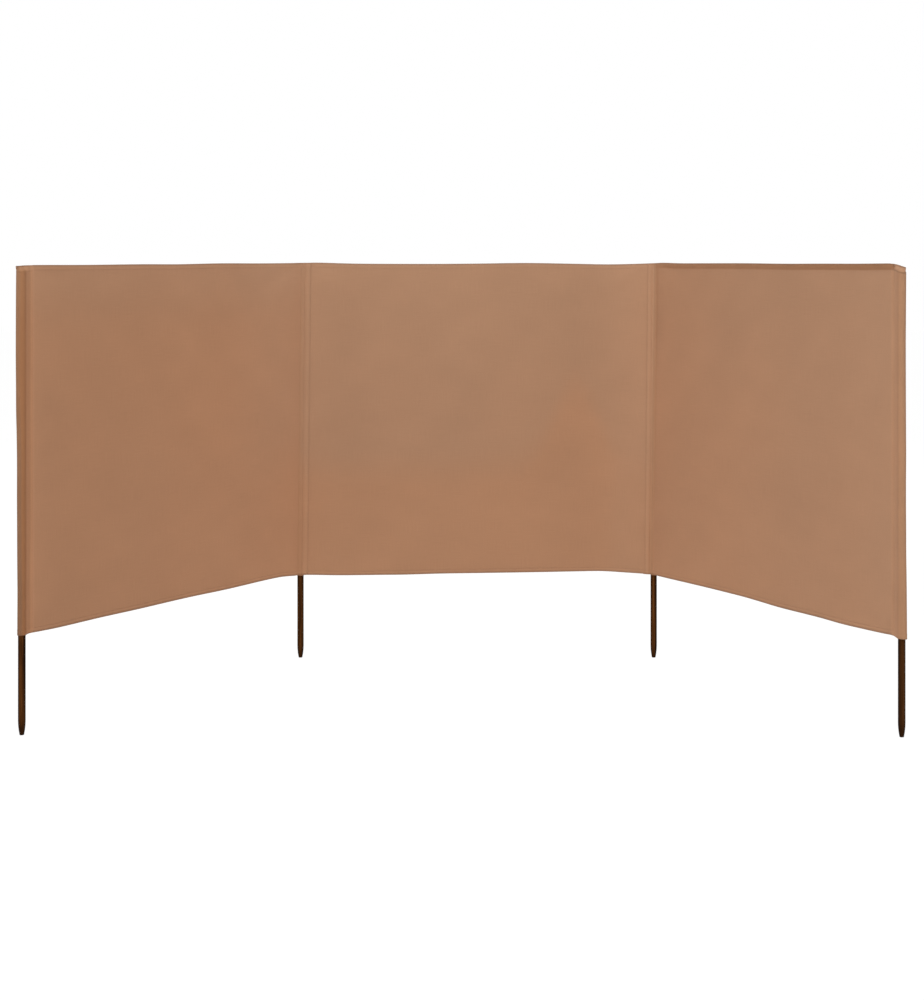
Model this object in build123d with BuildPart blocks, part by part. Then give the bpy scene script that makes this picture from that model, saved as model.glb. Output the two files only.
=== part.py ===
from build123d import *
from math import asin, cos, radians, sin
import os

# Beach windbreak: three cloth bays on four wooden posts, standing as a wide U.
# Millimetres, +Z up. The origin is the flat end of the inner left post, on the ground line.
# Front is -Y, the open side of the U. +X runs along the middle bay from left to right.

# Posts
POST_D = 24.0
POST_LENGTH = 1500.0
POST_SPACING = 1360.0
POINT_LENGTH = 46.0
POINT_FLAT_D = 14.0
POST_TOP_EDGE = 2.0

# Cloth
CLOTH = 1.0
CLOTH_HEIGHT = 1200.0
TOP_HEM = 20.0
BOTTOM_HEM = 18.0
HEM_TURN = 2.0
HEM_STOP = 20.0

# Pockets that hold the posts: distance from the middle of the post to the seam along the cloth
INNER_SEAM = 12.0
OUTER_SEAM = 43.0
FLANGE = 20.0
TUCK_EASE = 0.2

# Gap between neighbouring pieces
SEAT = 0.3

# Angle each wing is swung forward from the line of the middle bay, in degrees
LEFT_FOLD = 56.0
RIGHT_FOLD = 58.0

# Sizes that follow
cloth_top = POST_LENGTH + SEAT + TOP_HEM
cloth_bottom = cloth_top - CLOTH_HEIGHT
pocket_bore = POST_D / 2 + SEAT
pocket_wall = pocket_bore + CLOTH
neck_bore = TUCK_EASE
neck = neck_bore + CLOTH
cloth_to_neck = CLOTH / 2 + SEAT + neck
cloth_to_post = CLOTH / 2 + SEAT + pocket_wall
hinge_step = CLOTH + SEAT


def direction(angle):
    """Unit vector in the ground plane, angle in degrees from +X towards +Y."""
    return Vector(cos(radians(angle)), sin(radians(angle)), 0)


def frame_at(spot, along):
    """Level plane at spot whose x runs along the given direction."""
    return Plane(origin=spot, x_dir=along, z_dir=(0, 0, 1))


# Plan of the cloth: the fold lines pass right in front of the inner posts
right = direction(0)
back = direction(90)
left_wing = direction(180 + LEFT_FOLD)
right_wing = direction(-RIGHT_FOLD)

left_fold = back * -cloth_to_post
right_fold = left_fold + right * POST_SPACING
middle_length = POST_SPACING - 2 * hinge_step
wing_length = POST_SPACING - OUTER_SEAM - cloth_to_neck

posts = {
    "outer_left": left_fold + left_wing * POST_SPACING,
    "inner_left": Vector(0, 0, 0),
    "inner_right": right * POST_SPACING,
    "outer_right": right_fold + right_wing * POST_SPACING,
}

# Where each pocket is sewn, and the way the cloth runs from that seam to its post
inner_seam_depth = back * (cloth_to_neck - cloth_to_post)
pockets = {
    "outer_left": (posts["outer_left"] - left_wing * OUTER_SEAM, left_wing),
    "inner_left": (posts["inner_left"] + right * INNER_SEAM + inner_seam_depth, -right),
    "inner_right": (posts["inner_right"] - right * INNER_SEAM + inner_seam_depth, right),
    "outer_right": (posts["outer_right"] - right_wing * OUTER_SEAM, right_wing),
}

# Each bay: start and direction of its cloth, its length, and the side of that line facing out of the U
bays = {
    "left_wing": (left_fold, left_wing, wing_length, -1),
    "middle": (left_fold + right * hinge_step, right, middle_length, 1),
    "right_wing": (right_fold, right_wing, wing_length, 1),
}

# How far short of each end of its bay a hem stops: clear of the fold, the flange or the end pocket
middle_hem_stop = INNER_SEAM + FLANGE + CLOTH + SEAT - hinge_step
hem_stops = {
    "left_wing": (HEM_STOP, 0),
    "middle": (middle_hem_stop, middle_hem_stop),
    "right_wing": (HEM_STOP, 0),
}


def loop_outline(neck_radius, wall_radius, reach):
    """Cloth loop from above: a small arc at the seam, a large one at the post, tangent lines between."""
    lean = asin((wall_radius - neck_radius) / reach)
    back_by, out_by = -sin(lean), cos(lean)
    neck_left = (neck_radius * back_by, neck_radius * out_by)
    neck_right = (neck_radius * back_by, -neck_radius * out_by)
    wall_left = (reach + wall_radius * back_by, wall_radius * out_by)
    wall_right = (reach + wall_radius * back_by, -wall_radius * out_by)
    with BuildLine() as outline:
        ThreePointArc(neck_right, (-neck_radius, 0), neck_left)
        Line(neck_left, wall_left)
        ThreePointArc(wall_left, (reach + wall_radius, 0), wall_right)
        Line(wall_right, neck_right)
    return outline.edges()


os.makedirs("parts", exist_ok=True)

# Posts: turned poles with a blunt tapered point
for name, foot in posts.items():
    with BuildPart() as post:
        with BuildSketch(Plane(origin=foot, x_dir=right, z_dir=-back)):
            with BuildLine():
                side = Line((POST_D / 2, POST_LENGTH), (POST_D / 2, POINT_LENGTH))
                TangentArc(side @ 1, (POINT_FLAT_D / 2, 0), tangent=side % 1)
                Line((POINT_FLAT_D / 2, 0), (0, 0))
                Line((0, 0), (0, POST_LENGTH))
                Line((0, POST_LENGTH), side @ 0)
            make_face()
        revolve(axis=Axis(foot, (0, 0, 1)))
        top_edge = post.edges().filter_by(GeomType.CIRCLE).sort_by(Axis.Z)[-1]
        chamfer(top_edge, length=POST_TOP_EDGE)
    post.part.label = f"{name}_post"
    export_step(post.part, f"parts/{name}_post.step")

# Pockets: cloth looped round the post and sewn together at the seam, pressed flat across the
# top by the hem; at the inner posts a flange runs on from the seam behind the middle bay
for name, (seam, outward) in pockets.items():
    to_post = posts[name] - seam
    loop_frame = frame_at(seam, to_post)
    flat_frame = frame_at(seam, outward)
    flat_reach = to_post.dot(outward) + pocket_wall - neck
    with BuildPart() as pocket:
        with BuildSketch(loop_frame.offset(cloth_bottom)):
            make_face(loop_outline(neck, pocket_wall, to_post.length))
        extrude(amount=CLOTH_HEIGHT - TOP_HEM)
        with BuildSketch(loop_frame.offset(cloth_bottom)):
            make_face(loop_outline(neck_bore, pocket_bore, to_post.length))
        extrude(amount=CLOTH_HEIGHT - TOP_HEM, mode=Mode.SUBTRACT)
        with BuildSketch(loop_frame.offset(cloth_top - TOP_HEM)):
            make_face(loop_outline(neck, pocket_wall, to_post.length))
        with BuildSketch(flat_frame.offset(cloth_top)):
            make_face(loop_outline(neck, neck, flat_reach))
        loft()
        if name.startswith("inner"):
            with BuildSketch(flat_frame.offset(cloth_bottom)):
                with Locations((-FLANGE / 2, 0)):
                    SlotCenterToCenter(FLANGE, 2 * CLOTH)
            extrude(amount=CLOTH_HEIGHT)
    pocket.part.label = f"{name}_pocket"
    export_step(pocket.part, f"parts/{name}_pocket.step")

# Cloth of each bay: one flat panel with rounded side edges
for name, (start, along, length, _) in bays.items():
    with BuildPart() as cloth:
        with BuildSketch(frame_at(start, along).offset(cloth_bottom)):
            with Locations((length / 2, 0)):
                SlotCenterToCenter(length, CLOTH)
        extrude(amount=CLOTH_HEIGHT)
    cloth.part.label = f"{name}_cloth"
    export_step(cloth.part, f"parts/{name}_cloth.step")

# Hems: the top and bottom edges turned to the outer side and stitched down
hems = {
    "top_hem": (cloth_top - TOP_HEM, TOP_HEM),
    "bottom_hem": (cloth_bottom, BOTTOM_HEM),
}
for name, (start, along, length, outside) in bays.items():
    near_stop, far_stop = hem_stops[name]
    hem_length = length - near_stop - far_stop
    for hem_name, (height, depth) in hems.items():
        with BuildPart() as hem:
            with BuildSketch(frame_at(start, along).offset(height)):
                with Locations((near_stop + hem_length / 2, outside * (CLOTH + HEM_TURN) / 2)):
                    Rectangle(hem_length, HEM_TURN)
            extrude(amount=depth)
        hem.part.label = f"{name}_{hem_name}"
        export_step(hem.part, f"parts/{name}_{hem_name}.step")
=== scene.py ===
import math

import bmesh
import bpy
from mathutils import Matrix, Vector, noise


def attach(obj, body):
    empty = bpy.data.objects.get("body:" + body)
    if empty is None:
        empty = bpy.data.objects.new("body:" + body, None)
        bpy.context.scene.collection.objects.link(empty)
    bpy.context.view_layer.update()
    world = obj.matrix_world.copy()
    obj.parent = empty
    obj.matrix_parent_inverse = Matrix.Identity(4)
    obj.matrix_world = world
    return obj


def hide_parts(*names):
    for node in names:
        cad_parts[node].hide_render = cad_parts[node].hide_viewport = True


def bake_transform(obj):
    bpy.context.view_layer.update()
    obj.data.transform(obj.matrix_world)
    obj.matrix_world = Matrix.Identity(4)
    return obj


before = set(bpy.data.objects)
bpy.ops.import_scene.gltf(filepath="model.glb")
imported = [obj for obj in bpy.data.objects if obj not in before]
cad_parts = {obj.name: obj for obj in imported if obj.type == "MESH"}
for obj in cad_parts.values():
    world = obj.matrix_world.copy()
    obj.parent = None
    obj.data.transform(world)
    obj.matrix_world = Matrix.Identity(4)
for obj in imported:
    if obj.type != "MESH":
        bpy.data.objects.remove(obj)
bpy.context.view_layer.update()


# Posts: four round softwood poles turned to a blunt point, stained dark brown.
# They keep the shape of the CAD model. The stain lies darker along the grain and at the foot,
# where it soaked into the cut fibres. Painted shade darkens the sides of each post, a painted
# highlight lightens its front and back, and each post is painted lighter or darker to even out
# the light that falls on it.
STAIN = (0.060, 0.0195, 0.0035, 1)
STAIN_WORN = (0.112, 0.040, 0.0090, 1)
STAIN_DEEP = (0.014, 0.0046, 0.0012, 1)
POST_PAINTED_LEVEL = {  # how much lighter or darker each post is painted: painted light and shade
    "outer_left_post": 1.07,
    "inner_left_post": 0.93,
    "inner_right_post": 1.11,
    "outer_right_post": 0.55,
}
ROUND_SHADE_AND_HIGHLIGHT = ((0.30, 0.30), (0.78, 0.70), (0.97, 1.10))  # painted shade at the sides to painted highlight front and back
SOAKED_FOOT = 0.065
FIBRES = (150, 150, 5)
YEAR_RINGS = (38, 38, 1.6)


def blank_finish(name):
    """A new node material: its tree and its shader."""
    material = bpy.data.materials.new(name)
    material.use_nodes = True
    tree = material.node_tree
    return material, tree, tree.nodes["Principled BSDF"]


def add(tree, kind, setup=None, **inputs):
    """Adds a node. An input given as a socket is linked, any other value is set."""
    made = tree.nodes.new(kind)
    for key, value in (setup or {}).items():
        setattr(made, key, value)
    for key, value in inputs.items():
        socket = made.inputs[int(key[1:]) if key[1:].isdigit() else key.replace("_", " ")]
        if isinstance(value, bpy.types.NodeSocket):
            tree.links.new(value, socket)
        else:
            socket.default_value = value
    return made


def maths(tree, operation, *values):
    """The result of one sum over sockets or numbers."""
    inputs = {f"i{k}": value for k, value in enumerate(values)}
    return add(tree, "ShaderNodeMath", {"operation": operation}, **inputs).outputs[0]


def mixed(tree, share, first, second, how="MIX"):
    """Two colours mixed, or one laid over the other."""
    setup = {"data_type": "RGBA", "blend_type": how}
    return add(tree, "ShaderNodeMix", setup, i0=share, i6=first, i7=second).outputs[2]


def ramp(tree, factor, stops):
    """A colour ramp over (position, colour) stops."""
    made = add(tree, "ShaderNodeValToRGB", Fac=factor)
    band = made.color_ramp
    while len(band.elements) < len(stops):
        band.elements.new(0.5)
    for element, (place, colour) in zip(band.elements, stops):
        element.position = place
        element.color = colour
    return made.outputs["Color"]


def wood_finish(name, painted_level):
    """Stained softwood, with its fibres, its year rings and its soaked foot.

    Painted shade darkens its sides and a painted highlight lightens its front and back, and
    the post's own factor scales it as painted light and shade.
    """
    material, tree, shader = blank_finish(name)
    coordinates = add(tree, "ShaderNodeTexCoord")
    place = coordinates.outputs["Object"]
    drawn_out = add(tree, "ShaderNodeMapping", Vector=place, Scale=FIBRES).outputs[0]
    fibres = add(
        tree, "ShaderNodeTexNoise", Vector=drawn_out, Scale=1.0, Detail=5, Roughness=0.62
    ).outputs[0]
    broad = add(tree, "ShaderNodeMapping", Vector=place, Scale=YEAR_RINGS).outputs[0]
    rings = add(
        tree, "ShaderNodeTexNoise", Vector=broad, Scale=1.0, Detail=3, Distortion=0.8
    ).outputs[0]
    grain = maths(
        tree, "MULTIPLY_ADD", fibres, 0.45, maths(tree, "MULTIPLY_ADD", rings, 0.55, -0.02)
    )
    stain = ramp(tree, grain, [(0.36, STAIN_DEEP), (0.47, STAIN), (0.60, STAIN_WORN)])
    foot = add(
        tree, "ShaderNodeMapRange", {"interpolation_type": "SMOOTHSTEP"},
        i0=add(tree, "ShaderNodeSeparateXYZ", Vector=place).outputs["Z"],
        i1=0.0, i2=SOAKED_FOOT, i3=0.62, i4=0.0,
    ).outputs[0]
    soaked = mixed(tree, foot, stain, STAIN_DEEP)
    # Painted shade and highlight by facing: darker sides, lighter front and back
    facing = add(tree, "ShaderNodeSeparateXYZ", Vector=coordinates.outputs["Normal"])
    round_shade = ramp(
        tree, maths(tree, "ABSOLUTE", facing.outputs["Y"]),
        [(at, (part * painted_level,) * 3 + (1,)) for at, part in ROUND_SHADE_AND_HIGHLIGHT],
    )
    colour = mixed(tree, 1.0, soaked, round_shade, "MULTIPLY")
    tree.links.new(colour, shader.inputs["Base Color"])
    satin = add(tree, "ShaderNodeMapRange", i0=grain, i1=0.35, i2=0.65, i3=0.52, i4=0.40)
    tree.links.new(satin.outputs[0], shader.inputs["Roughness"])
    shader.inputs["Specular IOR Level"].default_value = 0.03
    bump = add(tree, "ShaderNodeBump", Strength=0.35, Distance=0.0006, Height=grain)
    tree.links.new(bump.outputs[0], shader.inputs["Normal"])
    return material


for post, painted_level in POST_PAINTED_LEVEL.items():
    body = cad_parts[post]
    body.data.materials.clear()
    body.data.materials.append(wood_finish(f"stain_and_shade_{post}", painted_level))


# Middle bay's cloth: a single drop of plain-woven tan cotton, 1.2 m high, hemmed along both edges
# and drawn taut between the two inner posts. It is dyed in the piece, so its tone wanders, and
# broad painted light and shade lie over that colour. Its side edges run under the wings' cloth,
# where two rows of stitching hold both.
SPACING = 1.360
CLOTH_TOP = 1.5203
CLOTH_BOTTOM = 0.3203
CLOTH_HEIGHT = CLOTH_TOP - CLOTH_BOTTOM
CLOTH_PLANE = -0.0141
CLOTH_THICK = 0.0008
UNDERLAP = 0.0065
HEM_ROW_TOP = 0.0165
HEM_ROW_BOTTOM = 0.0148
CURL = 0.0050
GREY_TAN = (0.3680, 0.2050, 0.1200)
WARM_TAN = (0.4020, 0.2050, 0.1105)
# Painted shadow: the colour the cloth darkens towards where a post sits behind it
POST_SHADOW_COLOUR = (0.86, 0.755, 0.62)
THREAD_PITCH = 0.0011
FLAT_MAP = "flat_cloth"
DYE_SEED = {"left": 1.0, "middle": 8.0, "right": 15.0}

# Relief of the drawn cloth: how deep it bellies, dips, folds on the slant, pulls towards its
# corners and puckers beside a row of stitching
RELIEF_SEED = {"left": 3.1, "middle": 11.7, "right": 23.4}
BELLY = 0.006
DIPS = 0.0065
SLANT_FOLDS = 0.0020
CORNER_PULL = 0.0007
PUCKER = 0.00042

# The wings' folds, half the length of the bend round a post, and where and over what length the
# wing's own dye takes over there
FOLD = {"left": math.radians(56), "right": math.radians(58)}
TURN = 0.009
DYE_START = 0.012
DYE_BLEND = 0.021

# How far the seam beside each inner post strayed at its foot and at its top, and where along the
# cloth and over what length that dies out
ASKEW = {"left": (-0.0035, 0.0095), "right": (-0.0055, 0.0065)}
ASKEW_FADE = (0.035, 0.26)

# How far the cloth's top and bottom edges lie above a straight line: places along each bay in
# metres, and heights in mm
LIFT_TOP = {
    "left": [
        (-0.03, -1.3), (0.0, -1.6), (0.05, -2.4), (0.22, -2.6), (0.44, -1.2), (0.64, -3.2),
        (0.83, -2.0), (1.10, -2.5), (1.28, -1.5), (1.35, -2.0), (1.374, -3.5),
    ],
    "middle": [
        (0.0, -1.6), (0.06, -1.1), (0.15, -3.5), (0.23, -5.1), (0.38, -5.9), (0.54, -5.9),
        (0.70, -4.5), (0.84, -2.6), (0.93, -3.1), (1.07, -5.8), (1.17, -7.7), (1.24, -6.9),
        (1.30, -5.1), (1.36, -2.8),
    ],
    "right": [
        (-0.03, -4.0), (0.0, -2.8), (0.05, -1.4), (0.17, -2.5), (0.30, -1.7), (0.55, -0.1),
        (0.80, -0.3), (0.96, 1.1), (1.15, 2.1), (1.27, 3.6), (1.31, 3.8), (1.335, 1.6),
        (1.36, -3.8), (1.374, -7.0),
    ],
}
LIFT_BOTTOM = {
    "left": [
        (-0.03, -0.6), (0.0, -0.6), (0.025, -0.2), (0.055, 2.8), (0.11, 6.6), (0.22, 7.3),
        (0.40, 5.8), (0.60, 6.4), (0.84, 3.4), (1.02, 3.2), (1.20, 0.9), (1.29, 2.0),
        (1.34, 3.4), (1.374, 3.6),
    ],
    "middle": [
        (0.0, -0.6), (0.07, -0.7), (0.155, -1.6), (0.31, 0.0), (0.40, 0.6), (0.54, 4.2),
        (0.70, 6.6), (0.92, 10.0), (1.08, 13.2), (1.15, 14.2), (1.20, 12.2), (1.26, 8.2),
        (1.31, 5.0), (1.36, 0.8),
    ],
    "right": [
        (-0.03, 2.6), (0.0, 0.8), (0.05, 0.7), (0.17, 1.3), (0.53, 1.6), (0.64, -1.0),
        (0.75, -4.6), (0.96, -4.6), (1.07, -6.2), (1.17, -4.5), (1.27, -2.2), (1.315, -0.6),
        (1.338, -2.6), (1.374, -2.2),
    ],
}


def clamp(value):
    return min(1.0, max(0.0, value))


def ease(value):
    """Rises smoothly from 0 to 1 as the value does."""
    value = clamp(value)
    return value * value * (3 - 2 * value)


def bell(distance, width):
    """1 at no distance, falling off smoothly on both sides."""
    return math.exp(-((distance / width) ** 2))


def dye_and_painted_light(bay, along, up, tone=1.0, post_shadow=0.0):
    """Colour of the cloth at a distance along its bay and a share of its height.

    The left wing is the warmest, and the middle bay is warm only low down. Its tone wanders at
    random, and its level is painted light and shade: lighter or darker across each bay and up it,
    with painted shade patches and painted light near seams and outer ends. Where the cloth lies on
    a post, the last argument lays on a painted shadow of the dark post seen through the cloth."""
    if bay != "middle" and along < DYE_START:
        there = -along if bay == "left" else SPACING + along
        beside = dye_and_painted_light("middle", there, up, tone, post_shadow)
        here = dye_and_painted_light(bay, DYE_START, up, tone, post_shadow)
        turned = ease((along + TURN) / DYE_BLEND)
        return [b + (h - b) * turned for b, h in zip(beside, here)]
    share = clamp(along / SPACING)
    drift = noise.noise(Vector((along * 3.1, up * 2.6, DYE_SEED[bay])))
    streak = noise.noise(Vector((along * 3.0 + up * 2.2, up * 9.0 - along * 6.5, 21.0)))
    fleck = noise.noise(Vector((along * 6.0 - up * 1.5, up * 15.0 + along * 2.0, 33.0)))
    # The level is painted light and shade: lighter or darker across and up each bay, with patches
    if bay == "left":
        warm = 0.90 - 0.45 * ease((up - 0.78) / 0.22)
        warm -= 0.50 * ease((0.36 - share) / 0.30) * ease((up - 0.25) / 0.25)
        level = 1.055 + 0.175 * (0.5 - share) + 0.060 * (up - 0.5)
        level += 0.035 * ease(1 - share / 0.25)
        level += 0.035 * ease((up - 0.86) / 0.10)
        painted_light_end = 0.030 * ease((share - 0.86) / 0.08)
        level += painted_light_end - 0.035 * bell(share - 0.60, 0.28) * bell(up - 0.62, 0.20)
    elif bay == "middle":
        warm_below = 0.34 + 0.26 * bell(share - 0.78, 0.09)
        warm = 0.66 * ease((warm_below + 0.08 - up) / 0.16)
        warm = 0.02 + warm * (1 - 0.55 * ease((share - 0.84) / 0.08))
        level = 1.017 + 0.035 * (up - 0.5) + 0.035 * ease((0.16 - share) / 0.16)
        level += (0.125 + 0.025 * up) * ease((share - 0.76) / 0.24)
    else:
        warm = 0.50 - 0.50 * share + 0.25 * (1 - up)
        level = 1.050 + 0.030 * ease((share - 0.75) / 0.15)
        level -= 0.06 * bell(along - 0.03, 0.03) * bell(up - 0.80, 0.07)
        level += 0.020 * ease((share - 0.92) / 0.05)
    warm = clamp(warm + 0.12 * drift)
    level *= tone * (1 + 0.024 * drift + 0.026 * streak + 0.028 * fleck)
    return [
        (g + (w - g) * warm) * level * (1 - post_shadow * (1 - o))
        for g, w, o in zip(GREY_TAN, WARM_TAN, POST_SHADOW_COLOUR)
    ] + [1.0]


def cloth_finish(name):
    """Plain weave and slubs over the cloth's colour and its painted light and shade, laid out in
    the flat cloth's own metres.
    """
    material, tree, shader = blank_finish(name)
    flat = add(tree, "ShaderNodeUVMap", {"uv_map": FLAT_MAP}).outputs[0]
    dye_and_shade = add(tree, "ShaderNodeAttribute", {"attribute_name": "dye_and_shade"}).outputs["Color"]
    weft = add(tree, "ShaderNodeMapping", Vector=flat, Scale=(14, 900, 1)).outputs[0]
    warp = add(tree, "ShaderNodeMapping", Vector=flat, Scale=(900, 14, 1)).outputs[0]
    slubs = maths(tree, "ADD", *(
        add(tree, "ShaderNodeTexNoise", Vector=threads, Scale=1.0, Detail=2).outputs[0]
        for threads in (weft, warp)
    ))
    axes = add(tree, "ShaderNodeSeparateXYZ", Vector=flat)
    weave = maths(tree, "MULTIPLY", *(
        maths(tree, "SINE", maths(tree, "MULTIPLY", axes.outputs[k], math.pi / THREAD_PITCH))
        for k in (0, 1)
    ))
    thread = add(tree, "ShaderNodeMapRange", i0=slubs, i1=0.7, i2=1.3, i3=0.955, i4=1.045)
    crossing = add(tree, "ShaderNodeMapRange", i0=weave, i1=-1.0, i2=1.0, i3=0.975, i4=1.025)
    yarn = maths(tree, "MULTIPLY", thread.outputs[0], crossing.outputs[0])
    colour = add(tree, "ShaderNodeVectorMath", {"operation": "SCALE"}, i0=dye_and_shade, Scale=yarn)
    tree.links.new(colour.outputs[0], shader.inputs["Base Color"])
    shader.inputs["Roughness"].default_value = 0.92
    shader.inputs["Specular IOR Level"].default_value = 0.15
    shader.inputs["Sheen Weight"].default_value = 0.04
    shader.inputs["Sheen Roughness"].default_value = 0.6
    relief = maths(tree, "MULTIPLY_ADD", slubs, 0.6, weave)
    bump = add(tree, "ShaderNodeBump", Strength=0.22, Distance=0.00025, Height=relief)
    tree.links.new(bump.outputs[0], shader.inputs["Normal"])
    return material


tan_cotton = cloth_finish("tan_cotton")


def through(pairs, at):
    """A smooth curve through (place, height) pairs, held level beyond both ends."""
    if at <= pairs[0][0]:
        return pairs[0][1]
    if at >= pairs[-1][0]:
        return pairs[-1][1]
    i = next(k for k in range(len(pairs) - 1) if at <= pairs[k + 1][0])
    slopes = []
    for k in (i, i + 1):
        before, after = pairs[max(k - 1, 0)], pairs[min(k + 1, len(pairs) - 1)]
        slopes.append((after[1] - before[1]) / (after[0] - before[0]))
    (x0, y0), (x1, y1) = pairs[i], pairs[i + 1]
    span = x1 - x0
    t = (at - x0) / span
    return (
        (2 * t**3 - 3 * t**2 + 1) * y0 + (t**3 - 2 * t**2 + t) * span * slopes[0]
        + (3 * t**2 - 2 * t**3) * y1 + (t**3 - t**2) * span * slopes[1]
    )


def askew(bay, up, distance=0.0):
    """How far a seam has strayed along +X at a share of its height, dying out away from it."""
    low, high = ASKEW[bay]
    start, length = ASKEW_FADE
    return (low + (high - low) * up) * (1 - ease((distance - start) / length))


def height_at(bay, along, up):
    """Height above the ground of a point at a share up (0 to 1) of the cloth."""
    low = CLOTH_BOTTOM + through(LIFT_BOTTOM[bay], along) / 1000
    high = CLOTH_TOP + through(LIFT_TOP[bay], along) / 1000
    return low + (high - low) * up


def plan(bay, along, out):
    """Plan position at a distance along the bay's cloth, out metres towards the back of it.

    A wing's cloth runs on from the middle bay, round its fold in an arc, and out along the wing."""
    if bay == "middle":
        return Vector((along, CLOTH_PLANE + out, 0))
    side = -1 if bay == "left" else 1
    fold_x = 0.0 if bay == "left" else SPACING
    angle = FOLD[bay]
    if along <= -TURN:
        return Vector((fold_x + side * along, CLOTH_PLANE + out, 0))
    if along >= TURN:
        run = Vector((side * math.cos(angle), -math.sin(angle), 0))
        square = Vector((side * math.sin(angle), math.cos(angle), 0))
        return Vector((fold_x, CLOTH_PLANE, 0)) + run * along + square * out
    radius = TURN / math.tan(angle / 2)
    turned = angle * (along + TURN) / (2 * TURN)
    reach = radius + out
    return Vector((
        fold_x - side * TURN + side * reach * math.sin(turned),
        CLOTH_PLANE - radius + reach * math.cos(turned),
        0,
    ))


def spot(bay, along, up, out):
    """A point in space from its place on the flat cloth and its depth behind the cloth's plane."""
    place = plan(bay, along, out)
    if bay == "middle":
        place.x += askew("left", up, along) + askew("right", up, SPACING - along)
    else:
        place.x += askew(bay, up, along)
    place.z = height_at(bay, along, up)
    return place


def ruled(low, high, step, close_to=()):
    """Positions from low to high, step apart, and closer near each (middle, half width, step)."""
    least, end_gap = 0.00045, 0.0003
    count = max(1, round((high - low) / step))
    marks = [low + (high - low) * i / count for i in range(count + 1)]
    for middle, half, close in close_to:
        marks += [middle - half + close * i for i in range(round(2 * half / close) + 1)]
    kept = [low]
    for mark in sorted(marks):
        if mark - kept[-1] > least and mark < high - end_gap:
            kept.append(mark)
    return kept + [high]


def slack(bay, along, up):
    """Depth of the cloth's soft relief, in metres towards the back, and none at the posts.

    It bellies a little, drifts in broad dips, is drawn into shallow folds on the slant, and
    pulls towards the four corners where it hangs from the posts."""
    share = clamp(along / SPACING)
    held = math.sin(math.pi * share) ** 0.6 if 0 < share < 1 else 0.0
    seed = RELIEF_SEED[bay]
    rise = up * CLOTH_HEIGHT
    belly = BELLY * math.sin(math.pi * share) * math.sin(math.pi * up) ** 0.8
    drift = noise.noise(Vector((along * 2.3, rise * 2.0 + along * 0.9, seed))) * DIPS
    slant = Vector((along * 1.3 + rise * 1.9, rise * 5.2 - along * 3.4, seed + 5))
    drawn = noise.noise(slant) * SLANT_FOLDS
    pull, pull_reach = 0.0, 0.5
    for corner, high in ((0, 0), (0, 1), (1, 0), (1, 1)):
        dx = (along - corner * SPACING) * (1 if corner == 0 else -1)
        dz = (rise - high * CLOTH_HEIGHT) * (1 if high == 0 else -1)
        reach = math.hypot(dx, dz)
        if reach < pull_reach and dx > 0:
            rays = math.sin(11 * math.atan2(dz, dx) + seed + corner)
            pull += CORNER_PULL * bell(reach - 0.13, 0.13) * rays
    return belly + (drift + drawn) * held + pull * min(1, held * 2.5)


def pucker(distance, rise, seed):
    """Fine gathers that a row of stitching leaves in the cloth beside it."""
    gathers = noise.noise(Vector((rise * 34, seed, distance * 20)))
    return PUCKER * bell(distance, 0.020) * gathers


def hem_relief(bay, along, up):
    """The hem stands a little proud, drawn in at its row, and the right wing's curls forward."""
    low, top = up * CLOTH_HEIGHT, (1 - up) * CLOTH_HEIGHT
    depth = -0.0002 * bell(top - 0.008, 0.006) - 0.0003 * bell(low - 0.007, 0.006)
    depth += (
        0.00015 * bell(top - HEM_ROW_TOP, 0.0018) + 0.00025 * bell(low - HEM_ROW_BOTTOM, 0.0018)
    )
    if bay == "right":
        curled = CURL * ease(1 - top / 0.024) * ease((along - 0.01) / 0.10)
        depth -= curled * (0.5 + 0.5 * along / SPACING)
    return depth


def hem_tone(bay, along, up):
    """Tone and shadow tint of the hems: a darker, greyer edge, a paler band, painted shade in the
    groove at the row, and a painted shadow on the right wing's curled top band.
    """
    low, top = up * CLOTH_HEIGHT, (1 - up) * CLOTH_HEIGHT
    tone = (1 - 0.30 * bell(top, 0.0036)) * (1 - 0.32 * bell(low, 0.0060))
    tone *= 1 + 0.040 * bell(low - 0.0095, 0.0035)
    # Painted shade in the groove at each stitched row
    top_groove_shade = 1 - 0.010 * bell(top - HEM_ROW_TOP, 0.0024)
    tone *= top_groove_shade * (1 - 0.045 * bell(low - HEM_ROW_BOTTOM, 0.0024))
    shadow_tint = -0.45 * bell(top, 0.0040) - 0.50 * bell(low, 0.0055)
    if bay == "right":
        # Painted shadow on the right wing's top band, which curls forward
        band = ease((0.0225 - top) / 0.003) * (0.42 + 0.50 * clamp(along / SPACING))
        shadow_tint += band * ease((along + 0.012) / 0.02)
    else:
        tone *= 1 + 0.045 * bell(top - 0.0100, 0.0060)
        shadow_tint -= 0.22 * bell(top - 0.0090, 0.0080) * (1 if bay == "left" else 0)
    return tone, shadow_tint


def as_piece(mesh, name, finish):
    """Turns a bmesh into a named object: outward faces, crisp edges where layers meet."""
    bmesh.ops.recalc_face_normals(mesh, faces=mesh.faces)
    crisp_from = 0.9
    for edge in mesh.edges:
        if len(edge.link_faces) == 2 and edge.calc_face_angle(0) > crisp_from:
            edge.smooth = False
    data = bpy.data.meshes.new(name)
    mesh.to_mesh(data)
    mesh.free()
    piece = bpy.data.objects.new(name, data)
    bpy.context.scene.collection.objects.link(piece)
    data.materials.append(finish)
    return piece


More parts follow.
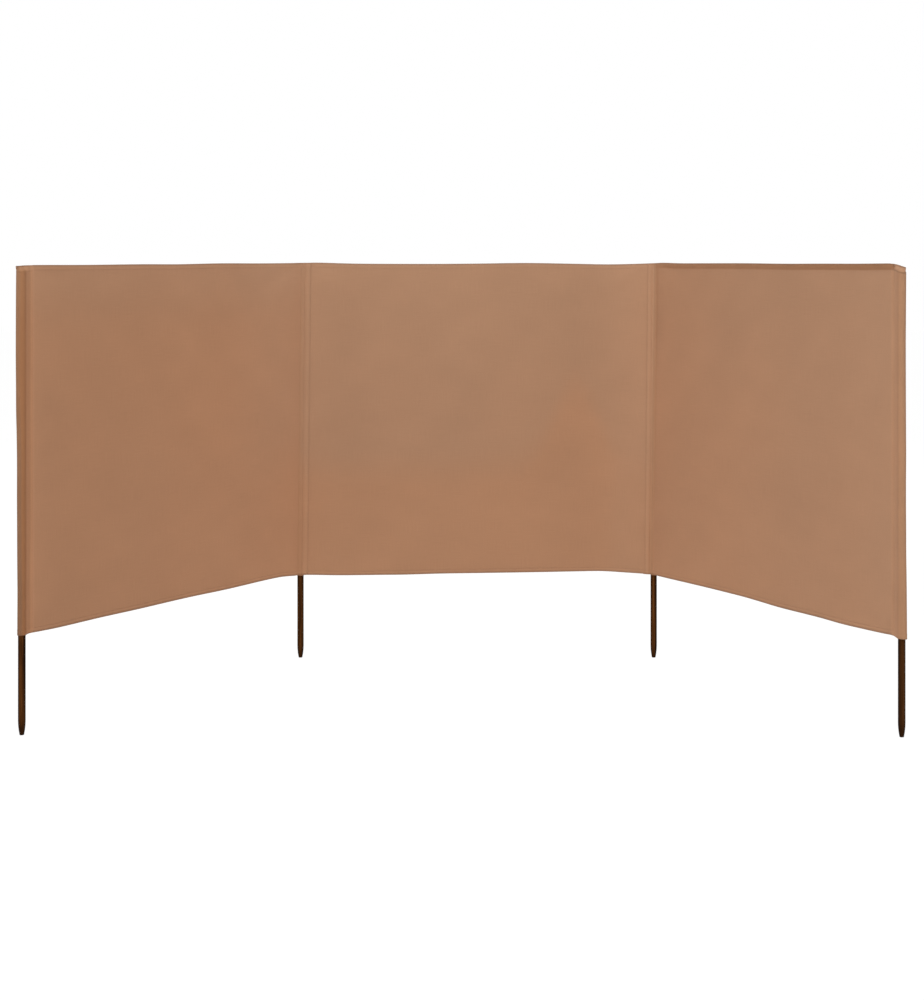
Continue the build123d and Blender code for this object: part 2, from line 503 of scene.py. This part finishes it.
def skin(name, rings, flats, shaded_colours):
    """A piece of cloth through rings of points, closed at both ends.

    Each point has its place on the flat cloth and its colour."""
    mesh = bmesh.new()
    flat = mesh.loops.layers.uv.new(FLAT_MAP)
    dye_and_shade = mesh.verts.layers.float_color.new("dye_and_shade")
    places = {}
    rows = []
    for ring, flat_row, shaded_colour_row in zip(rings, flats, shaded_colours):
        row = []
        for point, place, colour in zip(ring, flat_row, shaded_colour_row):
            vert = mesh.verts.new(point)
            vert[dye_and_shade] = colour
            places[vert] = place
            row.append(vert)
        rows.append(row)

    def face(*corners):
        made = mesh.faces.new(corners)
        made.smooth = True
        for loop in made.loops:
            loop[flat].uv = places[loop.vert]

    for near, far in zip(rows, rows[1:]):
        for i in range(len(near)):
            j = (i + 1) % len(near)
            face(near[i], near[j], far[j], far[i])
    for row in (rows[0], rows[-1]):
        for i in range(len(row) // 2 - 1):
            face(row[i], row[i + 1], row[-2 - i], row[-1 - i])
    return as_piece(mesh, name, tan_cotton)


cloth_ups = ruled(0.0, 1.0, 0.0122, (
    (0.0, 0.0040, 0.0010), (HEM_ROW_BOTTOM / CLOTH_HEIGHT, 0.0052, 0.00095),
    (1 - HEM_ROW_TOP / CLOTH_HEIGHT, 0.0052, 0.00095), (1.0, 0.0040, 0.0010),
))


def cloth_panel(name, bay, alongs, offset, tone):
    """A closed sheet of cloth: front and back layers CLOTH_THICK apart, joined round the edge.

    offset(along, up) gives its depth behind the cloth's plane, and tone(along, up) its tone with
    painted light and shade, and its painted shadow tint."""
    rings, flats, shaded_colours = [], [], []
    for along in alongs:
        ring, flat_row, shaded_colour_row = [], [], []
        for half, order in ((-CLOTH_THICK / 2, cloth_ups), (CLOTH_THICK / 2, cloth_ups[::-1])):
            for up in order:
                ring.append(spot(bay, along, up, offset(along, up) + half))
                flat_row.append((along, up * CLOTH_HEIGHT))
                shaded_colour_row.append(dye_and_painted_light(bay, along, up, *tone(along, up)))
        rings.append(ring)
        flats.append(flat_row)
        shaded_colours.append(shaded_colour_row)
    return skin(name, rings, flats, shaded_colours)


middle_low, middle_high = UNDERLAP, SPACING - UNDERLAP
middle_alongs = ruled(
    middle_low, middle_high, 0.0150,
    [(0.036, 0.030, 0.0040), (SPACING - 0.036, 0.030, 0.0040)],
)


def middle_offset(along, up):
    """The middle bay lies flat under the wings' laps and is puckered beside them."""
    edge = min(along, SPACING - along)
    eased = ease((edge - 0.032) / 0.06)
    gathers = pucker(max(0.0, edge - 0.034), up * CLOTH_HEIGHT, 2.0)
    return slack("middle", along, up) * eased + gathers + hem_relief("middle", along, up)


middle_cloth = cloth_panel(
    "middle_bay_cloth", "middle", middle_alongs, middle_offset,
    lambda along, up: hem_tone("middle", along, up),
)
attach(middle_cloth, "middle_bay")
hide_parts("middle_cloth")


# Wing cloths: one drop each, from the outer seam along the wing, round the inner post and over
# the edge of the middle bay's cloth, where it is stitched down in two rows about 20 mm apart.
# The cloth between the rows stands up in a soft ridge.
OUTER_SEAM = 0.043
OUTER_TUCK = 0.0110
LAP_END = 0.0345
LAP_FRONT = -0.0012
SEAM_ROWS = {"left": (0.0095, 0.0315), "right": (0.0110, 0.0290)}
RIDGE = 0.0014
ROW_GROOVE = 0.0003
RELIEF_END = 1.318

# Painted shade along the near and far rows, and a painted highlight where that is below zero
ROW_SHADING = {"left": (0.0, 0.045), "right": (-0.125, 0.060)}

# Painted shade at the bend and painted highlights beside the outer seam: place, width, strength
BEND_SHADE = {"left": (0.0020, 0.0062, 0.090), "right": (-0.0024, 0.0070, 0.105)}
SEAM_HIGHLIGHT = {
    "left": [(1.3145, 0.0060, 0.100), (1.3145, 0.0350, 0.055)],
    "right": [(1.3150, 0.0050, 0.060)],
}
wing_high = SPACING - OUTER_SEAM + OUTER_TUCK
wing_alongs = ruled(
    -LAP_END, wing_high, 0.0150,
    [
        (-0.020, 0.0145, 0.0011), (0.004, 0.0150, 0.0022), (0.035, 0.030, 0.0050),
        (1.307, 0.021, 0.0035),
    ],
)


def wing_offset(bay):
    """A wing's cloth lies in front of the middle bay's up to the bend, ridged between the rows."""
    near, far = SEAM_ROWS[bay]
    ridge_at, ridge_half = (near + far) / 2, (far - near) / 2 - 0.0005

    def offset(along, up):
        lap = 1 - ease((along + 0.006) / 0.016)
        ridge = 0.0
        if along < 0:
            ridge = -RIDGE * max(0.0, 1 - ((-along - ridge_at) / ridge_half) ** 2)
            ridge += ROW_GROOVE * (bell(-along - near, 0.0016) + bell(-along - far, 0.0016))
        inside = min(along, RELIEF_END - along)
        relief = slack(bay, along, up) * ease((inside - 0.010) / 0.07)
        gathers = pucker(max(0.0, inside), up * CLOTH_HEIGHT, 7.0 if bay == "left" else 9.0)
        return LAP_FRONT * lap + ridge + relief + gathers + hem_relief(bay, along, up)

    return offset


def wing_tone(bay):
    """Painted shade along the rows and a painted highlight on the ridge, painted shade at the bend
    with the painted shadow of the post behind it, and painted light at the edge by the sleeve.
    """
    near, far = SEAM_ROWS[bay]

    def toned(along, up):
        tone, shadow_tint = hem_tone(bay, along, up)
        if along < 0.004:
            # Painted shade along the stitched rows (a painted highlight where negative), highlight
            # on ridge
            for row, depth in zip((near, far), ROW_SHADING[bay]):
                tone *= 1 - depth * (0.55 + 0.45 * up) * bell(-along - row, 0.0042)
            tone *= 1 + 0.025 * bell(-along - (near + far) / 2, 0.0055)
        bend_at, width, depth = BEND_SHADE[bay]
        tone *= 1 - depth * bell(along - bend_at, width)
        tone *= 1 + sum(depth * bell(at - along, width) for at, width, depth in SEAM_HIGHLIGHT[bay])
        # Painted shade low on the left bend and high on the right one
        if bay == "left":
            tone *= 1 - 0.035 * (1 - up) * bell(along - 0.013, 0.005)
            post_at, post_shadow_strength = 0.0, 0.10
        else:
            tone *= 1 - 0.060 * up * up * bell(along - 0.012, 0.009)
            post_at, post_shadow_strength = 0.016 * up - 0.006, 0.17
        # Painted shadow of the post seen through the cloth at the bend
        over_post = ease((0.014 - abs(along - post_at)) / 0.005)
        shadow_tint = max(shadow_tint, (post_shadow_strength + 0.06 * (1 - up)) * over_post)
        return tone, shadow_tint

    return toned


for bay in ("left", "right"):
    wing = cloth_panel(f"{bay}_wing_drop", bay, wing_alongs, wing_offset(bay), wing_tone(bay))
    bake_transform(wing)
    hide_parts(f"{bay}_wing_cloth")


# Post sleeves: a strip of the same cotton looped round each post. At the ends it is stitched to
# both faces of the wing's edge, at the inner posts its two turned edges are stitched behind the
# middle bay. The loop is a little loose, its top is pressed flat and sewn shut, its foot is open.
POST_DEPTH = 0.0141
LOOP_RADIUS = 0.01275
ARC_STEPS = 26
SHUT_FROM = 0.021
TOP_TURN = 0.0186
HEM_BOTTOM = 0.018
LAYER_APART = 0.0007
RUMPLE = 0.0006
EDGE_DARKENING = 0.28
SHUT_LINE_AT = 0.0192
SHUT_SHADOW = {"left": 0.10, "right": 0.34}  # how dark the painted shadow under the shut top is

# How far each outer loop stands off its post, in mm by share of its height
LOOSE = {
    "left": [
        (0.03, 1.6), (0.12, 1.0), (0.22, 2.6), (0.30, 3.4), (0.48, 3.8), (0.55, 5.0), (0.62, 8.0),
        (0.75, 9.5), (1.0, 8.0),
    ],
    "right": [
        (0.03, 8.0), (0.10, 6.5), (0.20, 4.0), (0.27, 2.2), (0.35, 1.0), (0.48, 2.8), (0.56, 1.0),
        (0.80, 0.2), (1.0, 2.4),
    ],
}


def round_post(neck, centre, loose):
    """The part of the strip that goes round the post, from one tangent point to the other."""
    reach = (centre - neck).length
    aim = math.atan2(centre.y - neck.y, centre.x - neck.x)
    spread = math.asin(min(0.999, LOOP_RADIUS / reach))
    first = aim - math.pi / 2 - spread
    sweep = math.pi + 2 * spread
    arc = []
    for i in range(ARC_STEPS + 1):
        turn = first + sweep * i / ARC_STEPS
        point = centre + Vector((math.cos(turn), math.sin(turn))) * LOOP_RADIUS
        point.x += loose * max(0.0, math.cos(turn)) ** 1.5
        arc.append(point)
    return arc


def strip_line(lap_x, lap_front, lap_back, neck, centre, loose):
    """The whole strip in plan: in along the front layer, round the post, out along the back."""
    arc = round_post(neck, centre, loose)
    front, back = Vector((lap_x, lap_front)), Vector((lap_x, lap_back))
    line = [front.lerp(Vector((neck.x, lap_front)), i / 5) for i in range(6)]
    line += [line[-1].lerp(arc[0], i / 5) for i in range(1, 5)] + arc
    end = Vector((neck.x, lap_back))
    line += [arc[-1].lerp(end, i / 5) for i in range(1, 6)]
    line += [end.lerp(back, i / 5) for i in range(1, 6)]
    return line


sleeve_ups = ruled(0.0, 1.0, 0.020, [
    (0.0, 0.004, 0.002), (0.015, 0.004, 0.002),
    (1 - 0.5 * SHUT_FROM / CLOTH_HEIGHT, 0.012, 0.0014), (1.0, 0.004, 0.0013),
])


def sleeve(name, bay, line_at, place, post_x, seed, shade, drop):
    """Sweeps the strip up the post; over the last 21 mm it is pressed flat and closed.

    line_at(up) gives its plan, place(x, y, up) turns that into a point in space, and
    shade(beyond, up) gives painted light and shade and the painted shadow tint at a distance beyond
    the middle of the post."""
    rings, flats, shaded_colours = [], [], []
    for up in sleeve_ups:
        rise = up * CLOTH_HEIGHT
        top = CLOTH_HEIGHT - rise
        line = line_at(up)
        count = len(line)
        lengths = [0.0]
        for a, b in zip(line, line[1:]):
            lengths.append(lengths[-1] + (b - a).length)
        near, far = line[0].x, max(p.x for p in line) + 0.003
        middle = (line[0].y + line[-1].y) / 2
        press = ease((SHUT_FROM - top) / (SHUT_FROM - 0.003))
        turned_foot = ease((HEM_BOTTOM + 0.0006 - rise) / 0.0012)
        turned_top = ease((TOP_TURN - top) / 0.0012)
        thick = CLOTH_THICK * (1 + 0.9 * turned_foot + 0.9 * turned_top)
        ring, flat_row, shaded_colour_row = [], [], []
        for side in (1, -1):
            for i in range(count) if side == 1 else reversed(range(count)):
                share = lengths[i] / lengths[-1]
                run = line[min(i + 1, count - 1)] - line[max(i - 1, 0)]
                run.normalize()
                pressed = Vector((0, -1 if share <= 0.5 else 1))
                square = Vector((run.y, -run.x)) * (1 - press) + pressed * press
                square.normalize()
                flat_x = near + (far - near) * (1 - abs(2 * share - 1)) ** 0.92
                layer = middle + (LAYER_APART if share > 0.5 else -LAYER_APART)
                rumple = Vector((line[i].x * 60, line[i].y * 60, rise * 7 + seed))
                step = side * thick / 2 + noise.noise(rumple) * RUMPLE * (1 - press)
                x = line[i].x + (flat_x - line[i].x) * press + square.x * step
                y = line[i].y + (layer - line[i].y) * press + square.y * step
                point = place(x, y, up)
                hanging = ease((line[i].x - post_x + 0.016) / 0.008)
                point.z -= drop * hanging * ease(1 - rise / 0.08)
                ring.append(point)
                flat_row.append((seed + lengths[i], rise))
                # Darker at the foot and top edges; painted shadows under the turned foot and the
                # shut top
                tone = 1 - EDGE_DARKENING * bell(rise, 0.0030)
                tone *= 1 - 0.06 * bell(rise - HEM_BOTTOM, 0.0024)
                shut_shadow = 1 - SHUT_SHADOW[bay] * bell(top - SHUT_LINE_AT, 0.0024)
                tone *= (1 - EDGE_DARKENING * bell(top, 0.0030)) * shut_shadow
                # Painted highlight where the strip's lap starts at the seam
                tone *= 1 + 0.07 * bell(line[i].x - line[0].x - 0.003, 0.006)
                shaded, shadow_tint = shade(line[i].x - post_x, up)
                shaded_colour_row.append(dye_and_painted_light(bay, post_x, up, tone * shaded, shadow_tint * (1 - 0.8 * press)))
        rings.append(ring)
        flats.append(flat_row)
        shaded_colours.append(shaded_colour_row)
    return skin(name, rings, flats, shaded_colours)


def shade_inner(beyond, up):
    """The loops behind the middle bay: a painted shadow tint over the post."""
    return 1.0, 0.4 - 0.2 * ease((-0.0085 - beyond) / 0.006)


def shade_left(beyond, up):
    """The outer left loop: painted shade, greyed, at its rim and low down, a painted shadow tint
    over the post, and painted light at the neck and the seam.
    """
    outermost = LOOP_RADIUS + through(LOOSE["left"], up) / 1000
    low = 1 - up
    rim = ease((beyond - outermost + 0.0097) / 0.0075)
    neck = ease((-0.0055 - beyond) / 0.0080)
    lap = ease((-0.0300 - beyond) / 0.0030)
    over = (1 - rim) * (1 - neck)
    tone = 1 - (0.26 + 0.17 * low) * rim - (0.03 + 0.09 * low) * over
    tone += (0.09 + 0.03 * up) * neck
    tone += 0.05 * lap
    return tone, 0.95 + 0.20 * low * over - 0.65 * rim - 0.47 * neck - 0.22 * lap


def shade_right(beyond, up):
    """The outer right loop: more painted shadow tint over the post than at the seam, and painted
    light at the neck.
    """
    neck = ease((-0.0080 - beyond) / 0.0080)
    return 1 + 0.05 * neck, 0.30 - 0.15 * neck


sleeves = {}
for bay, side, shade_outer in (("left", -1, shade_left), ("right", 1, shade_right)):
    fold_x = 0.0 if bay == "left" else SPACING
    seam = SPACING - OUTER_SEAM

    def inner_line(up, bay=bay, side=side):
        stray = side * askew(bay, up)
        return strip_line(
            -0.0325 + stray, 0.00115, 0.00245, Vector((-0.0110 + min(stray, 0.006), 0.0018)),
            Vector((0.0, POST_DEPTH)), 0.001,
        )

    def behind_middle(x, y, up, bay=bay, side=side, fold_x=fold_x):
        return Vector((fold_x + side * x, CLOTH_PLANE + y, height_at(bay, x, up)))

    inner = sleeve(
        f"inner_{bay}_post_sleeve", bay, inner_line, behind_middle, 0.0, 31.0 + side,
        shade_inner, 0.0035,
    )
    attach(inner, "middle_bay")
    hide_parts(f"inner_{bay}_pocket")

    def outer_line(up, bay=bay, seam=seam):
        return strip_line(
            seam - 0.0015, -0.00095, 0.00095, Vector((seam + 0.0120, 0.0)),
            Vector((SPACING, 0.0)), through(LOOSE[bay], up) / 1000,
        )

    def beyond_wing(x, y, up, bay=bay):
        place = plan(bay, x, y)
        place.z = height_at(bay, x, up)
        return place

    outer = sleeve(
        f"outer_{bay}_post_sleeve", bay, outer_line, beyond_wing, SPACING, 41.0 + side,
        shade_outer, 0.001,
    )
    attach(outer, f"{bay}_wing")
    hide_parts(f"outer_{bay}_pocket")
    sleeves[bay] = (inner, outer)


# Hems: the top and bottom edges of each bay, turned twice to the outer side and stitched down.
# The turned edge is a soft roll at the very top, and ripples a little between stitches. Each hem
# stops short of the fold and of the outer sleeve.
HEM_TOP = 0.020
HEM_GAP = 0.00045
HEM_ENDS = {
    "left": (0.020, 1.3145),
    "middle": (0.0335, SPACING - 0.0335),
    "right": (0.020, 1.3145),
}


def hem_band(name, bay, alongs, top):
    """A doubled strip behind the edge of the cloth, rolled over it, following its rise and dip."""
    depth = HEM_TOP if top else HEM_BOTTOM
    row = HEM_ROW_TOP if top else HEM_ROW_BOTTOM
    outline = []
    for i in range(9):
        turn = math.pi * i / 8
        outline.append((0.00082 - 0.00125 * math.cos(turn), 0.00045 + 0.00105 * math.sin(turn)))
    for drop in (0.003, 0.007, 0.011, row - 0.0022, row, row + 0.0016, depth - 0.0008):
        outline.append((0.0022 - 0.0006 * bell(drop - row, 0.0016), -drop))
    outline += [
        (0.0018, -depth), (0.0009, -depth + 0.0002), (HEM_GAP, -depth + 0.0012),
        (HEM_GAP, -0.0105), (HEM_GAP, -0.0016), (-0.00043, -0.0016),
    ]
    offset = middle_offset if bay == "middle" else wing_offset(bay)
    rings, flats, shaded_colours = [], [], []
    for along in alongs:
        ring, flat_row, shaded_colour_row = [], [], []
        for k, (out, rise) in enumerate(outline):
            ripple = 0.0
            if out > 0.0015:
                ripple = 0.00035 * noise.noise(Vector((along * 45, rise * 60, 5.0)))
            inward = max(0.0, -rise) / CLOTH_HEIGHT
            up = 1 - inward if top else inward
            point = spot(bay, along, up, offset(along, up) + out + ripple)
            above = max(0.0, rise) - 0.0011
            point.z += above if top else -above
            ring.append(point)
            flat_row.append((along + 0.3, k * 0.0015))
            shaded_colour_row.append(dye_and_painted_light(bay, along, up, *hem_tone(bay, along, up)))
        rings.append(ring)
        flats.append(flat_row)
        shaded_colours.append(shaded_colour_row)
    return skin(name, rings, flats, shaded_colours)


hems = {}
for bay, (low, high) in HEM_ENDS.items():
    body = "middle_bay" if bay == "middle" else f"{bay}_wing"
    prefix = "middle" if bay == "middle" else f"{bay}_wing"
    hems[bay] = []
    for edge in ("top", "bottom"):
        name = f"{prefix}_{edge}_hem_roll"
        hem = hem_band(name, bay, ruled(low, high, 0.009), edge == "top")
        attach(hem, body)
        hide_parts(f"{prefix}_{edge}_hem")
        hems[bay].append(hem)


# Stitching: lockstitch in a matching cotton thread, 4.2 mm a stitch, on both faces of the cloth:
# one row along each hem, two rows down each inner seam and each outer seam, and one across the
# tops of the outer sleeves.
STITCH = 0.0042
STITCH_LENGTH = 0.0034
THREAD = 0.00030
ROW_START = 0.002
ROW_END = 0.004
OUTER_ROW_END = 0.024
HEM_BACK = 0.0017
INNER_SEAM_BACK = 0.0029
OUTER_SEAM_FACE = 0.00135
OUTER_ROWS = (SPACING - OUTER_SEAM + 0.0010, SPACING - OUTER_SEAM + 0.0080)
SHUT_ROW = 0.0045
SHUT_FACE = 0.0015
THREAD_DARK = (0.262, 0.128, 0.068, 1)
THREAD_PALE = (0.330, 0.168, 0.094, 1)


def thread_finish():
    """Twisted cotton, a little darker than the cloth, its tone wandering along the row."""
    material, tree, shader = blank_finish("tan_thread")
    place = add(tree, "ShaderNodeTexCoord").outputs["Object"]
    wander = add(tree, "ShaderNodeTexNoise", Vector=place, Scale=30.0, Detail=2).outputs[0]
    twist = add(tree, "ShaderNodeTexNoise", Vector=place, Scale=2600.0, Detail=1).outputs[0]
    colour = ramp(tree, wander, [(0.35, THREAD_DARK), (0.65, THREAD_PALE)])
    tree.links.new(colour, shader.inputs["Base Color"])
    shader.inputs["Roughness"].default_value = 0.72
    shader.inputs["Specular IOR Level"].default_value = 0.25
    bump = add(tree, "ShaderNodeBump", Strength=0.4, Distance=0.0001, Height=twist)
    tree.links.new(bump.outputs[0], shader.inputs["Normal"])
    return material


tan_thread = thread_finish()


def stitches(name, body, rows):
    """One mesh of stitches. Each row is (start, end, surface), surface(run, side, lift) a point.

    A stitch is a short thread, thickest in its middle, whose two ends dive into the cloth."""
    mesh = bmesh.new()
    stations = (
        (0.0, 0.0, -0.4), (0.2, 0.8, 0.5), (0.5, 1.0, 1.0), (0.8, 0.8, 0.5), (1.0, 0.0, -0.4),
    )
    for start, end, surface in rows:
        count = max(1, int((end - start) / STITCH))
        for k in range(count):
            first = start + (end - start) * k / count
            loops = []
            for share, width, lift in stations:
                run = first + STITCH_LENGTH * share
                if width == 0:
                    loops.append([mesh.verts.new(surface(run, 0.0, lift * THREAD))])
                    continue
                half = THREAD * width
                loops.append([
                    mesh.verts.new(surface(run, sideways * half, lift * THREAD + upward * half))
                    for sideways, upward in ((-1, 0), (0, 1), (1, 0), (0, -1))
                ])
            for near, far in zip(loops, loops[1:]):
                for i in range(4):
                    j = (i + 1) % 4
                    corners = [near[0]] if len(near) == 1 else [near[i], near[j]]
                    corners += [far[0]] if len(far) == 1 else [far[j], far[i]]
                    mesh.faces.new(corners).smooth = True
    piece = as_piece(mesh, name, tan_thread)
    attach(piece, body)
    return piece


def along_row(bay, up, offset, front):
    """A row that runs along the cloth at one share of its height, on its front or its back."""
    turn, base = (-1, -CLOTH_THICK / 2) if front else (1, HEM_BACK)

    def surface(run, side, lift):
        level = up + side / CLOTH_HEIGHT
        return spot(bay, run, level, offset(run, level) + base + turn * lift)

    return surface


def up_row(bay, along, offset, base, turn):
    """A row that runs up a seam at one distance along the bay."""

    def surface(run, side, lift):
        level = run / CLOTH_HEIGHT
        return spot(bay, along + side, level, offset(along + side, level) + base + turn * lift)

    return surface


def flat_cloth(along, up):
    """The offset of cloth with no relief."""
    return 0.0


for bay, (low, high) in HEM_ENDS.items():
    offset = middle_offset if bay == "middle" else wing_offset(bay)
    body = "middle_bay" if bay == "middle" else f"{bay}_wing"
    rows = []
    for up in (1 - HEM_ROW_TOP / CLOTH_HEIGHT, HEM_ROW_BOTTOM / CLOTH_HEIGHT):
        for front in (True, False):
            rows.append((low + ROW_START, high - ROW_END, along_row(bay, up, offset, front)))
    hems[bay].append(stitches(f"{body}_hem_stitches", body, rows))

for bay in ("left", "right"):
    low, high = ROW_END, CLOTH_HEIGHT - ROW_END
    rows = []
    for row in SEAM_ROWS[bay]:
        rows.append((low, high, up_row(bay, -row, wing_offset(bay), -CLOTH_THICK / 2, -1)))
        rows.append((low, high, up_row(bay, -row, flat_cloth, INNER_SEAM_BACK, 1)))
    inner_stitches = stitches(f"inner_{bay}_seam_stitches", "middle_bay", rows)

    high = CLOTH_HEIGHT - OUTER_ROW_END
    rows = []
    for row in OUTER_ROWS:
        for turn in (-1, 1):
            rows.append((low, high, up_row(bay, row, flat_cloth, turn * OUTER_SEAM_FACE, turn)))
    for turn in (-1, 1):
        def across(run, side, lift, bay=bay, turn=turn):
            place = plan(bay, run, turn * SHUT_FACE + turn * lift)
            place.z = height_at(bay, run, 1.0) - SHUT_ROW + side
            return place
        rows.append((SPACING - OUTER_SEAM + 0.003, SPACING + 0.012, across))
    outer_stitches = stitches(f"outer_{bay}_seam_stitches", f"{bay}_wing", rows)

    inner, outer = sleeves[bay]


# Setting: a plain white floor and surround, with soft light from both sides, from above and from
# behind. The floor keeps a faint shadow under the posts.
FLOOR_WHITE = (0.86, 0.86, 0.86, 1)
LAMP_AIM = Vector((0.7, -0.4, 0.9))
LAMPS = {  # place, width and power
    "left_front": ((-3.4, -6.6, 3.9), 2.5, 133),
    "right_front": ((4.7, -6.6, 3.9), 2.5, 49),
    "overhead": ((0.7, -2.8, 7.5), 2.5, 224),
    "left_side": ((-5.7, -4.9, 2.6), 2.5, 58),
    "behind": ((0.7, 7.0, 3.5), 3.0, 150),
    "right_side": ((7.1, -4.9, 2.6), 2.5, 49),
}


def white_floor():
    """White paper: seen by the camera it is plain white, and it is lit and shaded as paper."""
    material, tree, shader = blank_finish("white_floor")
    shader.inputs["Base Color"].default_value = FLOOR_WHITE
    shader.inputs["Roughness"].default_value = 0.95
    shader.inputs["Specular IOR Level"].default_value = 0.0
    seen = add(tree, "ShaderNodeLightPath").outputs["Is Camera Ray"]
    share = maths(tree, "MULTIPLY", seen, 0.90)
    glow = add(tree, "ShaderNodeEmission", Color=(1, 1, 1, 1), Strength=1.06).outputs[0]
    both = add(tree, "ShaderNodeMixShader", i0=share, i1=shader.outputs[0], i2=glow)
    tree.links.new(both.outputs[0], tree.nodes["Material Output"].inputs["Surface"])
    return material


floor_mesh = bmesh.new()
bmesh.ops.create_grid(floor_mesh, x_segments=4, y_segments=4, size=30)
floor = as_piece(floor_mesh, "floor", white_floor())
floor.location = (0.7, -1.0, -0.0005)

world = bpy.data.worlds.new("surround")
bpy.context.scene.world = world
world.use_nodes = True
sky = world.node_tree
sky_light = sky.nodes["Background"]
seen = add(sky, "ShaderNodeLightPath").outputs["Is Camera Ray"]
strength = add(sky, "ShaderNodeMapRange", i0=seen, i3=0.45, i4=1.0)
sky.links.new(strength.outputs[0], sky_light.inputs["Strength"])
sky_light.inputs["Color"].default_value = (1, 1, 1, 1)

for name, (place, width, power) in LAMPS.items():
    lamp = bpy.data.lights.new(name, "AREA")
    lamp.shape = "RECTANGLE"
    lamp.size = lamp.size_y = width
    lamp.energy = power
    softbox = bpy.data.objects.new(name, lamp)
    softbox.location = place
    softbox.rotation_euler = (LAMP_AIM - Vector(place)).to_track_quat("-Z", "Y").to_euler()
    bpy.context.scene.collection.objects.link(softbox)


# Camera: square on to the middle bay, just above the top of the cloth and a little to the right
# of its middle. The lens is shifted so that the whole object is in view.
camera = bpy.data.objects.new("camera", bpy.data.cameras.new("camera"))
bpy.context.scene.collection.objects.link(camera)
bpy.context.scene.camera = camera
camera.location = (0.8819, -7.1355, 1.5680)
camera.rotation_euler = (math.radians(90), 0, 0)
camera.data.sensor_width = 36
camera.data.lens = 66.704
camera.data.shift_x = -0.06753
camera.data.shift_y = -0.24997
camera.data.clip_end = 200
bpy.context.scene.view_settings.view_transform = "Standard"
